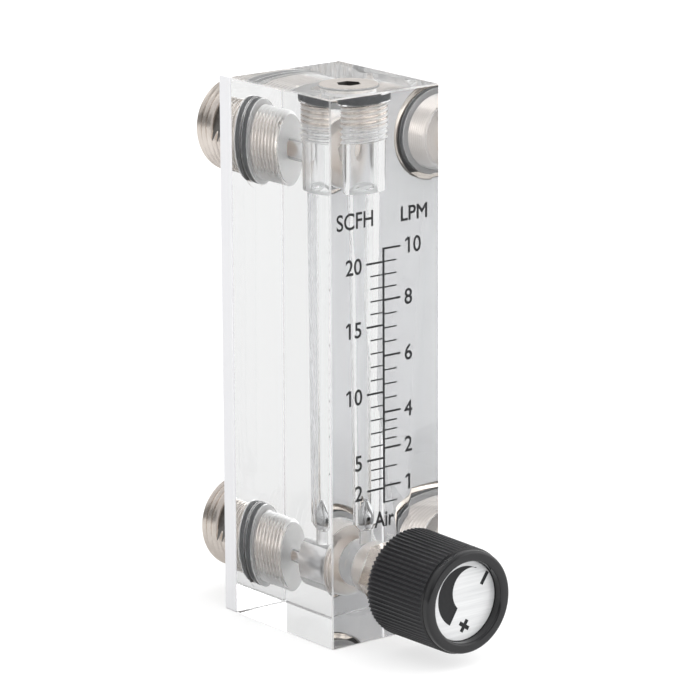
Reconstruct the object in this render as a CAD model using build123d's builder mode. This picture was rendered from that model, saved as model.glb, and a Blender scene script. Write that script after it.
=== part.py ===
# Acrylic panel flow meter (rotameter) with a needle valve.
# A clear block is drilled from the top for the tapered metering tube, from the front for the
# needle valve and from the back for two threaded ports. Units are millimetres.
# Frame: +Z up along the metering tube, +Y towards the back, origin on the base under the tube.

import os
from math import asin, cos, isclose, radians, sin, sqrt, tan

from build123d import *

os.makedirs("parts", exist_ok=True)

# Block and back plate
BLOCK_WIDTH = 25.0
BLOCK_DEPTH = 29.4
BLOCK_HEIGHT = 102.0
BLOCK_EDGE = 0.25  # polished chamfer along every outer edge
PLATE_THICKNESS = 3.5
PLATE_GAP = 0.1  # air film between the clear block and the opal plate
PLATE_HOLE_CLEARANCE = 0.2

# Places of the bores
TUBE_SETBACK = 10.5  # tube axis behind the front face
PORT_END_DISTANCE = 12.5  # each port's axis from the nearer end of the block

# Fits between pieces
THREAD_CLEARANCE = 0.05  # radial, threads are drawn at their outer diameter
SEAL_CLEARANCE = 0.05
RUNNING_CLEARANCE = 0.05

# Metering tube, float and float stop
SEAT_HEIGHT = 19.4  # where the float's seat cone starts
SEAT_BORE_R = 1.5
TUBE_BOTTOM_R = 2.8
TUBE_TOP_R = 3.4
TUBE_TOP_HEIGHT = 83.0
FLOAT_R = 2.6
FLOAT_HEIGHT = 5.8
FLOAT_TIP_R = 1.3
STOP_THICKNESS = 0.5
STOP_BAR_WIDTH = 0.8

# Top plug and its seal
PLUG_HEAD_R = 5.45
PLUG_HEAD_THICKNESS = 1.0
PLUG_THREAD_R = 5.0
PLUG_THREAD_LENGTH = 4.4
PLUG_TAP_RUNOUT = 2.5  # threaded depth left below the plug
PLUG_DRILL_R = 4.5
PLUG_NECK_R = 3.7
PLUG_KEY_FLATS = 4.0
PLUG_KEY_DEPTH = 3.6
PLUG_SEAL_SECTION = 1.8

# Rear fittings and their seals
FITTING_BODY_R = 9.0
FITTING_STANDOUT = 12.6  # beyond the back plate
FITTING_BORE_R = 4.5
FITTING_NECK_R = 7.0
FITTING_THREAD_LENGTH = 8.0
FITTING_RELIEF_R = 6.0
FITTING_FLATS = 15.2  # across the two milled flats
FITTING_FLAT_LENGTH = 8.0
FITTING_FLAT_ANGLE = 22.0
PIPE_THREAD_PITCH = 1.5  # outer thread, drawn as rings
PIPE_THREAD_DEPTH = 0.9
PIPE_THREAD_TURNS = 8
NECK_THREAD_PITCH = 1.0  # thread in the block, drawn as rings
NECK_THREAD_DEPTH = 0.55
NECK_THREAD_TURNS = 7
THREAD_CREST_WIDTH = 0.2
THREAD_LEAD = 0.7
PORT_SEAL_SECTION = 2.0
PORT_COUNTERBORE_R = 8.0
PORT_DRILL_R = 6.4
PORT_DRILL_DEPTH = 0.2  # plain bore past the thread
OUTLET_PASSAGE_R = 2.0

# Needle valve
VALVE_THREAD_R = 5.0
VALVE_THREAD_LENGTH = 7.5
VALVE_BORE_R = 4.5
VALVE_SEAT_R = 1.25
VALVE_SEAT_LAND = 4.2  # from the needle's seat to the inlet port
VALVE_HEX_FLATS = 12.0
VALVE_HEX_THICKNESS = 4.4
VALVE_HEX_TURN = 5.0  # as tightened, a corner points a little below the left
VALVE_HEX_CHAMFER = 0.5
VALVE_WASHER_THICKNESS = 0.4
VALVE_WASHER_R = 5.9
STEM_SHANK_R = 2.45
STEM_THREAD_R = 2.0
STEM_NEEDLE_R = 1.5
STEM_DRIVE_R = 2.0
STEM_DRIVE_FLAT = 1.5  # from the axis to the flat of the drive end
STEM_SEAL_SECTION = 0.9
STEM_SEAL_SETBACK = 2.6  # seal groove behind the front of the hex
STEM_SHOULDER_DEPTH = 2.0  # where shank becomes thread, behind the front face
STEM_THREAD_LENGTH = 6.2
NEEDLE_ENGAGEMENT = 2.2
NEEDLE_TIP_R = 0.45
CLIP_R = 2.7
CLIP_THICKNESS = 0.5
CLIP_GROOVE_DEPTH = 0.35
VALVE_PITCH = 0.5
VALVE_TURNS = 4.5

# Knob
KNOB_REAR_GAP = 1.8  # from the hex to the knob with the valve shut
KNOB_LENGTH = 17.2
KNOB_R = 10.0
KNOB_RIM_R = 9.55
KNOB_RIM_BAND = 1.5  # smooth band in front of the ribs
KNOB_RIB_COUNT = 72
KNOB_RIB_DEPTH = 0.35
KNOB_SHELL = 1.5
KNOB_WEB = 4.0
KNOB_HUB_R = 5.2
KNOB_RECESS_R = 7.55
KNOB_RECESS_DEPTH = 2.0
KNOB_HUB_SETBACK = 1.2  # hub end inside the rear rim
INSERT_R = 3.6
LABEL_THICKNESS = 0.2
LABEL_CLEARANCE = 0.05
SCREW_HEAD_R = 2.2
SCREW_HEAD_THICKNESS = 1.3
SCREW_R = 1.1
SCREW_LENGTH = 5.0
SCREW_SLOT_WIDTH = 0.6
SCREW_SLOT_DEPTH = 0.7
SCREW_HEAD_CLEARANCE = 0.4

# Printed scale on the front face
PRINT_THICKNESS = 0.05
PRINT_OFFSET = -0.5  # the print lies left of the tube's axis
AXIS_LINE_WIDTH = 0.45
LONG_MARK = 3.9
SHORT_MARK = 3.0
LONG_MARK_WIDTH = 0.38
SHORT_MARK_WIDTH = 0.26
RIGHT_SCALE = [(0.5, 26.0), (1, 29.05), (2, 36.2), (4, 42.95), (6, 53.5), (8, 63.9), (10, 73.4)]
RIGHT_MARK_COUNT = 20
LEFT_SCALE = [(2, 28.7), (5, 34.4), (10, 46.8), (15, 59.3), (20, 71.0)]
LEFT_MARK_COUNT = 19

# Worked out from the values above
front_y = -TUBE_SETBACK
block_back_y = front_y + BLOCK_DEPTH
plate_front_y = block_back_y + PLATE_GAP
plate_back_depth = BLOCK_DEPTH + PLATE_GAP + PLATE_THICKNESS
inlet_height = PORT_END_DISTANCE
outlet_height = BLOCK_HEIGHT - PORT_END_DISTANCE
port_seal_depth = BLOCK_DEPTH - PORT_SEAL_SECTION
port_thread_depth = port_seal_depth - FITTING_THREAD_LENGTH
port_end_depth = port_thread_depth - PORT_DRILL_DEPTH
valve_seat_depth = port_end_depth - VALVE_SEAT_LAND
plug_seal_top = BLOCK_HEIGHT - PLUG_HEAD_THICKNESS
plug_thread_top = plug_seal_top - PLUG_SEAL_SECTION
plug_end = plug_thread_top - PLUG_THREAD_LENGTH
plug_tap_end = plug_end - PLUG_TAP_RUNOUT
hex_front_depth = -VALVE_WASHER_THICKNESS - VALVE_HEX_THICKNESS
valve_travel = VALVE_PITCH * VALVE_TURNS
clip_depth = VALVE_THREAD_LENGTH + valve_travel + RUNNING_CLEARANCE
knob_rear_depth = hex_front_depth - KNOB_REAR_GAP
knob_front_depth = knob_rear_depth - KNOB_LENGTH
label_seat_depth = knob_front_depth + KNOB_RECESS_DEPTH
insert_front_depth = label_seat_depth + KNOB_WEB
insert_rear_depth = knob_rear_depth - KNOB_HUB_SETBACK


def depth_section(height):
    """Upright plane through the tube: local x runs back from the front face, local y is up."""
    return Plane(origin=(0, front_y, height), x_dir=(0, 1, 0), z_dir=(1, 0, 0))


def depth_axis(height):
    """Front-to-back axis at a height."""
    return Axis((0, 0, height), (0, 1, 0))


def depth_plane(depth, height, turn=0):
    """Plane that faces forward, a given depth behind the front face; local y is up if not turned."""
    across = (cos(radians(turn)), 0, -sin(radians(turn)))
    return Plane(origin=(0, front_y + depth, height), x_dir=across, z_dir=(0, -1, 0))


def draw_outline(points):
    """Add a filled outline to the sketch that is open, with its points as written."""
    Polygon(*points, align=None)


def make_seal_ring(plane, axis, centre_r, centre_along, section):
    """O-ring turned about an axis; the plane's local x or y is given by the centre's place."""
    with BuildPart() as ring:
        with BuildSketch(plane):
            with Locations((centre_r, centre_along)):
                Circle(section / 2)
        revolve(axis=axis)
    return ring


# Clear block
with BuildPart() as flow_block:
    with BuildSketch(Plane.XY):
        with Locations((0, front_y + BLOCK_DEPTH / 2)):
            Rectangle(BLOCK_WIDTH, BLOCK_DEPTH)
    extrude(amount=BLOCK_HEIGHT)
    chamfer(flow_block.edges(), length=BLOCK_EDGE)

    # metering tube, seat, upper chamber and plug thread
    seat_cone = TUBE_BOTTOM_R - SEAT_BORE_R
    with BuildSketch(Plane.XZ):
        draw_outline([
            (0, inlet_height),
            (SEAT_BORE_R, inlet_height),
            (SEAT_BORE_R, SEAT_HEIGHT),
            (TUBE_BOTTOM_R, SEAT_HEIGHT + seat_cone),
            (TUBE_TOP_R, TUBE_TOP_HEIGHT),
            (PLUG_DRILL_R, TUBE_TOP_HEIGHT),
            (PLUG_DRILL_R, plug_tap_end),
            (PLUG_THREAD_R, plug_tap_end),
            (PLUG_THREAD_R, plug_thread_top),
            (PLUG_HEAD_R + SEAL_CLEARANCE, plug_thread_top),
            (PLUG_HEAD_R + SEAL_CLEARANCE, BLOCK_HEIGHT),
            (0, BLOCK_HEIGHT),
        ])
    revolve(axis=Axis.Z, mode=Mode.SUBTRACT)

    # valve bore and needle seat
    with BuildSketch(depth_section(inlet_height)):
        draw_outline([
            (0, 0),
            (0, VALVE_THREAD_R),
            (VALVE_THREAD_LENGTH, VALVE_THREAD_R),
            (VALVE_THREAD_LENGTH, VALVE_BORE_R),
            (valve_seat_depth, VALVE_BORE_R),
            (valve_seat_depth, VALVE_SEAT_R),
            (port_end_depth, VALVE_SEAT_R),
            (port_end_depth, 0),
        ])
    revolve(axis=depth_axis(inlet_height), mode=Mode.SUBTRACT)

    # inlet and outlet ports
    for port_height in (inlet_height, outlet_height):
        with BuildSketch(depth_section(port_height)):
            draw_outline([
                (BLOCK_DEPTH, 0),
                (BLOCK_DEPTH, PORT_COUNTERBORE_R),
                (port_seal_depth, PORT_COUNTERBORE_R),
                (port_seal_depth, FITTING_NECK_R),
                (port_thread_depth, FITTING_NECK_R),
                (port_thread_depth, PORT_DRILL_R),
                (port_end_depth, PORT_DRILL_R),
                (port_end_depth, 0),
            ])
        revolve(axis=depth_axis(port_height), mode=Mode.SUBTRACT)

    # passage from the upper chamber to the outlet port
    with BuildSketch(depth_plane(port_end_depth, outlet_height)):
        Circle(OUTLET_PASSAGE_R)
    extrude(amount=port_end_depth - TUBE_SETBACK, mode=Mode.SUBTRACT)

# Opal back plate
with BuildPart() as back_plate:
    with BuildSketch(Plane.XY):
        with Locations((0, plate_front_y + PLATE_THICKNESS / 2)):
            Rectangle(BLOCK_WIDTH, PLATE_THICKNESS)
    extrude(amount=BLOCK_HEIGHT)
    chamfer(back_plate.edges(), length=BLOCK_EDGE)
    for port_height in (inlet_height, outlet_height):
        with BuildSketch(depth_plane(plate_back_depth, port_height)):
            Circle(FITTING_BODY_R + PLATE_HOLE_CLEARANCE)
        extrude(amount=PLATE_THICKNESS, mode=Mode.SUBTRACT)


def thread_rings(last_centre, pitch, turns, crest_r, thread_depth):
    """Outline points of a thread drawn as rings, from the front to the last groove's centre."""
    half_width = (pitch - THREAD_CREST_WIDTH) / 2
    points = []
    for turn in range(turns):
        centre = last_centre - pitch * (turns - 1 - turn)
        points.append((centre - half_width, crest_r))
        points.append((centre, crest_r - thread_depth))
        points.append((centre + half_width, crest_r))
    return points


def make_fitting(height):
    """Turned port fitting: threaded neck, seal relief, threaded shank with two flats, plain end."""
    flats_end_depth = plate_back_depth + FITTING_FLAT_LENGTH
    end_depth = plate_back_depth + FITTING_STANDOUT
    neck_r = FITTING_NECK_R - THREAD_CLEARANCE
    last_neck_groove = port_seal_depth - NECK_THREAD_PITCH / 2
    neck_rings = thread_rings(
        last_neck_groove, NECK_THREAD_PITCH, NECK_THREAD_TURNS, neck_r, NECK_THREAD_DEPTH)
    shank_rings = thread_rings(
        flats_end_depth, PIPE_THREAD_PITCH, PIPE_THREAD_TURNS, FITTING_BODY_R, PIPE_THREAD_DEPTH)
    with BuildPart() as fitting:
        with BuildSketch(depth_section(height)):
            draw_outline([
                (port_thread_depth + THREAD_CLEARANCE, FITTING_BORE_R),
                (port_thread_depth + THREAD_CLEARANCE, neck_r - THREAD_LEAD),
                (port_thread_depth + THREAD_CLEARANCE + THREAD_LEAD, neck_r),
                *neck_rings,
                (port_seal_depth, neck_r),
                (port_seal_depth, FITTING_RELIEF_R),
                (BLOCK_DEPTH, FITTING_RELIEF_R),
                (BLOCK_DEPTH, FITTING_BODY_R),
                *shank_rings,
                (end_depth - THREAD_LEAD, FITTING_BODY_R),
                (end_depth, FITTING_BODY_R - THREAD_LEAD),
                (end_depth, FITTING_BORE_R + THREAD_LEAD),
                (end_depth - THREAD_LEAD, FITTING_BORE_R),
            ])
        revolve(axis=depth_axis(height))
        with BuildSketch(depth_plane(flats_end_depth, height, FITTING_FLAT_ANGLE)):
            with Locations((-FITTING_FLATS, 0), (FITTING_FLATS, 0)):
                Rectangle(FITTING_FLATS, 2 * FITTING_BODY_R)
        extrude(amount=FITTING_FLAT_LENGTH - PLATE_GAP, mode=Mode.SUBTRACT)
    return fitting


inlet_fitting = make_fitting(inlet_height)
outlet_fitting = make_fitting(outlet_height)

# Port seals, squeezed between the fittings' shoulders and the counterbores
port_seal_centre_r = FITTING_RELIEF_R + PORT_SEAL_SECTION / 2
port_seal_section = PORT_SEAL_SECTION - SEAL_CLEARANCE
port_seal_centre_depth = port_seal_depth + PORT_SEAL_SECTION / 2
inlet_seal = make_seal_ring(
    depth_section(inlet_height), depth_axis(inlet_height),
    port_seal_centre_depth, port_seal_centre_r, port_seal_section,
)
outlet_seal = make_seal_ring(
    depth_section(outlet_height), depth_axis(outlet_height),
    port_seal_centre_depth, port_seal_centre_r, port_seal_section,
)

# Top plug with a hexagon socket
with BuildPart() as top_plug:
    plug_thread_r = PLUG_THREAD_R - THREAD_CLEARANCE
    with BuildSketch(Plane.XZ):
        draw_outline([
            (0, plug_end),
            (plug_thread_r - THREAD_LEAD, plug_end),
            (plug_thread_r, plug_end + THREAD_LEAD),
            (plug_thread_r, plug_thread_top),
            (PLUG_NECK_R, plug_thread_top),
            (PLUG_NECK_R, plug_seal_top),
            (PLUG_HEAD_R, plug_seal_top),
            (PLUG_HEAD_R, BLOCK_HEIGHT),
            (0, BLOCK_HEIGHT),
        ])
    revolve(axis=Axis.Z)
    with BuildSketch(Plane.XY.offset(BLOCK_HEIGHT)):
        RegularPolygon(PLUG_KEY_FLATS / 2, 6, major_radius=False)
    extrude(amount=-PLUG_KEY_DEPTH, mode=Mode.SUBTRACT)

top_plug_seal = make_seal_ring(
    Plane.XZ, Axis.Z,
    PLUG_NECK_R + PLUG_SEAL_SECTION / 2, plug_seal_top - PLUG_SEAL_SECTION / 2,
    PLUG_SEAL_SECTION - SEAL_CLEARANCE,
)

# Float: a steel drop that rests on the seat cone
float_centre = SEAT_HEIGHT + FLOAT_R * sqrt(2) - SEAT_BORE_R + RUNNING_CLEARANCE
float_tip = float_centre - FLOAT_R + FLOAT_HEIGHT
tip_centre = float_tip - FLOAT_TIP_R
side_angle = asin((FLOAT_R - FLOAT_TIP_R) / (tip_centre - float_centre))
with BuildPart() as metering_float:
    with BuildSketch(Plane.XZ):
        with BuildLine():
            ThreePointArc(
                (0, float_centre - FLOAT_R),
                (FLOAT_R, float_centre),
                (FLOAT_R * cos(side_angle), float_centre + FLOAT_R * sin(side_angle)),
            )
            Line(
                (FLOAT_R * cos(side_angle), float_centre + FLOAT_R * sin(side_angle)),
                (FLOAT_TIP_R * cos(side_angle), tip_centre + FLOAT_TIP_R * sin(side_angle)),
            )
            ThreePointArc(
                (FLOAT_TIP_R * cos(side_angle), tip_centre + FLOAT_TIP_R * sin(side_angle)),
                (FLOAT_TIP_R * sin(radians(30)), tip_centre + FLOAT_TIP_R * cos(radians(30))),
                (0, float_tip),
            )
            Line((0, float_tip), (0, float_centre - FLOAT_R))
        make_face()
    revolve(axis=Axis.Z)

# Float stop: a clear ring with a cross bar, at the foot of the upper chamber
with BuildPart() as float_stop:
    with BuildSketch(Plane.XY.offset(TUBE_TOP_HEIGHT)):
        Circle(PLUG_DRILL_R - THREAD_CLEARANCE)
        Circle(TUBE_TOP_R, mode=Mode.SUBTRACT)
    extrude(amount=STOP_THICKNESS)
    with BuildSketch(Plane.XY.offset(TUBE_TOP_HEIGHT)):
        Rectangle(2 * TUBE_TOP_R + STOP_BAR_WIDTH, STOP_BAR_WIDTH)
    extrude(amount=STOP_THICKNESS)

# Valve body: a hexagon bush with a threaded barrel
hex_corner_cut = VALVE_HEX_FLATS / 2 / cos(radians(30)) - VALVE_HEX_FLATS / 2
with BuildPart() as valve_body:
    with BuildSketch(depth_plane(-VALVE_WASHER_THICKNESS, inlet_height)):
        RegularPolygon(VALVE_HEX_FLATS / 2, 6, major_radius=False, rotation=VALVE_HEX_TURN)
    extrude(amount=VALVE_HEX_THICKNESS)
    with BuildSketch(depth_section(inlet_height)):
        hex_corner_r = VALVE_HEX_FLATS / 2 + hex_corner_cut
        draw_outline([
            (hex_front_depth, VALVE_HEX_FLATS / 2 - VALVE_HEX_CHAMFER),
            (hex_front_depth + (VALVE_HEX_CHAMFER + hex_corner_cut) * tan(radians(30)), hex_corner_r),
            (hex_front_depth, hex_corner_r + VALVE_HEX_CHAMFER),
        ])
    revolve(axis=depth_axis(inlet_height), mode=Mode.SUBTRACT)
    barrel_r = VALVE_THREAD_R - THREAD_CLEARANCE
    with BuildSketch(depth_section(inlet_height)):
        draw_outline([
            (-VALVE_WASHER_THICKNESS, 0),
            (-VALVE_WASHER_THICKNESS, barrel_r),
            (VALVE_THREAD_LENGTH - VALVE_HEX_CHAMFER - THREAD_CLEARANCE, barrel_r),
            (VALVE_THREAD_LENGTH - THREAD_CLEARANCE, barrel_r - VALVE_HEX_CHAMFER),
            (VALVE_THREAD_LENGTH - THREAD_CLEARANCE, 0),
        ])
    revolve(axis=depth_axis(inlet_height))
    with BuildSketch(depth_section(inlet_height)):
        draw_outline([
            (hex_front_depth, 0),
            (hex_front_depth, STEM_SHANK_R + RUNNING_CLEARANCE),
            (STEM_SHOULDER_DEPTH + RUNNING_CLEARANCE, STEM_SHANK_R + RUNNING_CLEARANCE),
            (STEM_SHOULDER_DEPTH + RUNNING_CLEARANCE, STEM_THREAD_R + RUNNING_CLEARANCE),
            (VALVE_THREAD_LENGTH, STEM_THREAD_R + RUNNING_CLEARANCE),
            (VALVE_THREAD_LENGTH, 0),
        ])
    revolve(axis=depth_axis(inlet_height), mode=Mode.SUBTRACT)

# Sealing washer under the hexagon
with BuildPart() as valve_washer:
    with BuildSketch(depth_plane(0, inlet_height)):
        Circle(VALVE_WASHER_R)
        Circle(VALVE_THREAD_R, mode=Mode.SUBTRACT)
    extrude(amount=VALVE_WASHER_THICKNESS)

# Valve stem: drive end, sealed shank, thread and needle
seal_groove_front = hex_front_depth + STEM_SEAL_SETBACK
seal_groove_rear = seal_groove_front + STEM_SEAL_SECTION + 2 * RUNNING_CLEARANCE
seal_groove_r = STEM_SHANK_R - STEM_SEAL_SECTION
shank_front_depth = insert_rear_depth
stem_front_depth = insert_front_depth + RUNNING_CLEARANCE
needle_base_depth = valve_seat_depth - RUNNING_CLEARANCE
needle_base_r = VALVE_SEAT_R - RUNNING_CLEARANCE
clip_groove_r = STEM_NEEDLE_R - CLIP_GROOVE_DEPTH
with BuildPart() as valve_stem:
    with BuildSketch(depth_section(inlet_height)):
        draw_outline([
            (stem_front_depth, 0),
            (stem_front_depth, STEM_DRIVE_R),
            (shank_front_depth, STEM_DRIVE_R),
            (shank_front_depth, STEM_SHANK_R),
            (seal_groove_front, STEM_SHANK_R),
            (seal_groove_front, seal_groove_r),
            (seal_groove_rear, seal_groove_r),
            (seal_groove_rear, STEM_SHANK_R),
            (STEM_SHOULDER_DEPTH, STEM_SHANK_R),
            (STEM_SHOULDER_DEPTH, STEM_THREAD_R),
            (STEM_SHOULDER_DEPTH + STEM_THREAD_LENGTH, STEM_THREAD_R),
            (STEM_SHOULDER_DEPTH + STEM_THREAD_LENGTH, STEM_NEEDLE_R),
            (clip_depth, STEM_NEEDLE_R),
            (clip_depth, clip_groove_r),
            (clip_depth + CLIP_THICKNESS, clip_groove_r),
            (clip_depth + CLIP_THICKNESS, STEM_NEEDLE_R),
            (needle_base_depth - STEM_NEEDLE_R + needle_base_r, STEM_NEEDLE_R),
            (needle_base_depth, needle_base_r),
            (needle_base_depth + NEEDLE_ENGAGEMENT, NEEDLE_TIP_R),
            (needle_base_depth + NEEDLE_ENGAGEMENT, 0),
        ])
    revolve(axis=depth_axis(inlet_height))
    with BuildSketch(depth_plane(shank_front_depth, inlet_height)):
        with Locations((0, STEM_DRIVE_FLAT + STEM_DRIVE_R / 2)):
            Rectangle(2 * STEM_DRIVE_R, STEM_DRIVE_R)
    extrude(amount=shank_front_depth - stem_front_depth, mode=Mode.SUBTRACT)
    with BuildSketch(depth_plane(stem_front_depth, inlet_height)):
        Circle(SCREW_R + THREAD_CLEARANCE)
    extrude(amount=-SCREW_LENGTH, mode=Mode.SUBTRACT)

stem_seal = make_seal_ring(
    depth_section(inlet_height), depth_axis(inlet_height),
    (seal_groove_front + seal_groove_rear) / 2, seal_groove_r + STEM_SEAL_SECTION / 2,
    STEM_SEAL_SECTION - RUNNING_CLEARANCE,
)

# Clip that stops the stem when the valve is fully open
with BuildPart() as stem_clip:
    with BuildSketch(depth_plane(clip_depth + CLIP_THICKNESS - THREAD_CLEARANCE, inlet_height)):
        Circle(CLIP_R)
        Circle(clip_groove_r, mode=Mode.SUBTRACT)
        with Locations((0, -CLIP_R)):
            Rectangle(2 * clip_groove_r * sin(radians(60)), 2 * CLIP_R, mode=Mode.SUBTRACT)
    extrude(amount=CLIP_THICKNESS - 2 * THREAD_CLEARANCE)

# Knob: ribbed shell, web with a recess for the label, and a hub for the insert
rib_front_depth = knob_front_depth + KNOB_RIM_BAND
with BuildPart() as knob:
    with BuildSketch(depth_section(inlet_height)):
        draw_outline([
            (knob_rear_depth, 0),
            (knob_rear_depth, KNOB_R),
            (rib_front_depth, KNOB_R - KNOB_RIB_DEPTH / 2),
            (knob_front_depth + KNOB_RIB_DEPTH, KNOB_RIM_R),
            (knob_front_depth, KNOB_RIM_R - KNOB_RIB_DEPTH),
            (knob_front_depth, 0),
        ])
    revolve(axis=depth_axis(inlet_height))
    with BuildSketch(depth_plane(knob_rear_depth, inlet_height)):
        with PolarLocations(KNOB_R, KNOB_RIB_COUNT):
            RegularPolygon(KNOB_RIB_DEPTH, 4, rotation=0)
    extrude(amount=KNOB_LENGTH - KNOB_RIM_BAND, mode=Mode.SUBTRACT)
    with BuildSketch(depth_section(inlet_height)):
        draw_outline([
            (knob_front_depth, 0),
            (knob_front_depth, KNOB_RECESS_R),
            (label_seat_depth, KNOB_RECESS_R),
            (label_seat_depth, SCREW_HEAD_R + SCREW_HEAD_CLEARANCE),
            (insert_front_depth, SCREW_HEAD_R + SCREW_HEAD_CLEARANCE),
            (insert_front_depth, INSERT_R),
            (insert_rear_depth, INSERT_R),
            (insert_rear_depth, KNOB_HUB_R),
            (label_seat_depth + KNOB_WEB / 2, KNOB_HUB_R),
            (label_seat_depth + KNOB_WEB / 2, KNOB_R - KNOB_RIB_DEPTH - KNOB_SHELL),
            (knob_rear_depth, KNOB_R - KNOB_RIB_DEPTH - KNOB_SHELL),
            (knob_rear_depth, 0),
        ])
    revolve(axis=depth_axis(inlet_height), mode=Mode.SUBTRACT)

# Brass insert in the hub, keyed to the stem's flat
with BuildPart() as knob_insert:
    with BuildSketch(depth_plane(insert_rear_depth, inlet_height)):
        Circle(INSERT_R)
        with BuildSketch(mode=Mode.PRIVATE) as drive_hole:
            Circle(STEM_DRIVE_R + RUNNING_CLEARANCE)
            with Locations((0, STEM_DRIVE_FLAT + RUNNING_CLEARANCE + STEM_DRIVE_R)):
                Rectangle(4 * STEM_DRIVE_R, 2 * STEM_DRIVE_R, mode=Mode.SUBTRACT)
        add(drive_hole.sketch, mode=Mode.SUBTRACT)
    extrude(amount=insert_rear_depth - insert_front_depth)

# Slotted screw that holds the knob on the stem
with BuildPart() as knob_screw:
    with BuildSketch(depth_plane(insert_front_depth, inlet_height)):
        Circle(SCREW_HEAD_R)
    extrude(amount=SCREW_HEAD_THICKNESS)
    with BuildSketch(depth_plane(insert_front_depth, inlet_height)):
        Circle(SCREW_R)
    extrude(amount=-(SCREW_LENGTH - RUNNING_CLEARANCE))
    with BuildSketch(depth_plane(insert_front_depth - SCREW_HEAD_THICKNESS, inlet_height)):
        Rectangle(2 * SCREW_HEAD_R, SCREW_SLOT_WIDTH)
    extrude(amount=-SCREW_SLOT_DEPTH, mode=Mode.SUBTRACT)

# Foil label in the knob's recess
with BuildPart() as knob_label:
    with BuildSketch(depth_plane(label_seat_depth, inlet_height)):
        Circle(KNOB_RECESS_R - LABEL_CLEARANCE)
    extrude(amount=LABEL_THICKNESS)


def mark_height(scale, value):
    """Height of a reading, on straight stretches between the readings that are given."""
    for (low, low_height), (high, high_height) in zip(scale, scale[1:]):
        if low <= value <= high:
            return low_height + (high_height - low_height) * (value - low) / (high - low)
    raise ValueError(f"no reading {value} on this scale")


def draw_marks(scale, numbered, count, side):
    """Marks at even readings, long where numbered; side is 1 right of the line and -1 left of it."""
    first, last = scale[0][0], scale[-1][0]
    for index in range(count):
        value = min(first + (last - first) * index / (count - 1), last)
        is_long = any(isclose(value, reading) for reading, reading_height in numbered)
        length = LONG_MARK if is_long else SHORT_MARK
        width = LONG_MARK_WIDTH if is_long else SHORT_MARK_WIDTH
        with Locations((PRINT_OFFSET + side * length / 2, mark_height(scale, value))):
            Rectangle(length, width)


# Printed scale lines, the darkest of the print
with BuildPart() as scale_marks:
    with BuildSketch(depth_plane(0, 0)):
        low_end = RIGHT_SCALE[0][1] - SHORT_MARK_WIDTH / 2
        high_end = RIGHT_SCALE[-1][1] + LONG_MARK_WIDTH / 2
        with Locations((PRINT_OFFSET, (low_end + high_end) / 2)):
            Rectangle(AXIS_LINE_WIDTH, high_end - low_end)
        draw_marks(RIGHT_SCALE, RIGHT_SCALE[1:], RIGHT_MARK_COUNT, 1)
        draw_marks(LEFT_SCALE, LEFT_SCALE, LEFT_MARK_COUNT, -1)
    extrude(amount=PRINT_THICKNESS)

pieces = {
    "flow_block": flow_block,
    "back_plate": back_plate,
    "inlet_fitting": inlet_fitting,
    "outlet_fitting": outlet_fitting,
    "inlet_seal": inlet_seal,
    "outlet_seal": outlet_seal,
    "top_plug": top_plug,
    "top_plug_seal": top_plug_seal,
    "metering_float": metering_float,
    "float_stop": float_stop,
    "valve_body": valve_body,
    "valve_washer": valve_washer,
    "valve_stem": valve_stem,
    "stem_seal": stem_seal,
    "stem_clip": stem_clip,
    "knob": knob,
    "knob_insert": knob_insert,
    "knob_screw": knob_screw,
    "knob_label": knob_label,
    "scale_marks": scale_marks,
}
for name, piece in pieces.items():
    piece.part.label = name
    export_step(piece.part, f"parts/{name}.step")

print("float rests from", round(float_centre - FLOAT_R, 3), "to", round(float_tip, 3))
print("float travel", round(TUBE_TOP_HEIGHT - float_tip, 3))
print("inlet height", inlet_height, "outlet height", outlet_height, "port end depth", port_end_depth)
print("knob from depth", knob_rear_depth, "to", knob_front_depth, "valve travel", valve_travel)
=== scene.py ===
# %% [markdown]
# # A panel rotameter in clear acrylic
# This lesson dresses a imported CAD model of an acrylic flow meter: a clear block with a tapered
# metering tube, a steel float, two threaded ports, a needle valve and a printed scale. The packed
# model is loaded as a fixed frame, so every new piece goes where the real one sits, in metres.

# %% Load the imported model
from math import asin, ceil, copysign, cos, hypot, pi, radians, sin, tan

import bpy
from mathutils import Matrix, Vector


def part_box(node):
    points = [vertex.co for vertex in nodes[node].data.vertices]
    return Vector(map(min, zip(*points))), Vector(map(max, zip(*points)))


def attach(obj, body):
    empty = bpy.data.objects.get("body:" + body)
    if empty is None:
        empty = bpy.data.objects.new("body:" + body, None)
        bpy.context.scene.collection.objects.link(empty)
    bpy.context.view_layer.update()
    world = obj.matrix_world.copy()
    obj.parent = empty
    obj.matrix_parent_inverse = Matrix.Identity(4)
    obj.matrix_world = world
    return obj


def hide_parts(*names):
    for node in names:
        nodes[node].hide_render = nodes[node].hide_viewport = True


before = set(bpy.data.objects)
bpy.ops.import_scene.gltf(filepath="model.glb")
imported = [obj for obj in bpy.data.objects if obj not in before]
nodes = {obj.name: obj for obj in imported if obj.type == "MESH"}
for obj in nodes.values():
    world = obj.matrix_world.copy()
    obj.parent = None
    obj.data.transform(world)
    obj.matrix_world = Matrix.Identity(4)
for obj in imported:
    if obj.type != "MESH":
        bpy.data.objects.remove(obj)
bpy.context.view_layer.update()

MM = 0.001

# %% [markdown]
# ## Places read from the frame
# The block's box gives its faces, and the boxes of the fittings give the height of each port.
# All later sizes hang from these, so nothing has to be fitted by eye. Depth is counted from the
# front face backwards, because that is how the bores were drilled.

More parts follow.
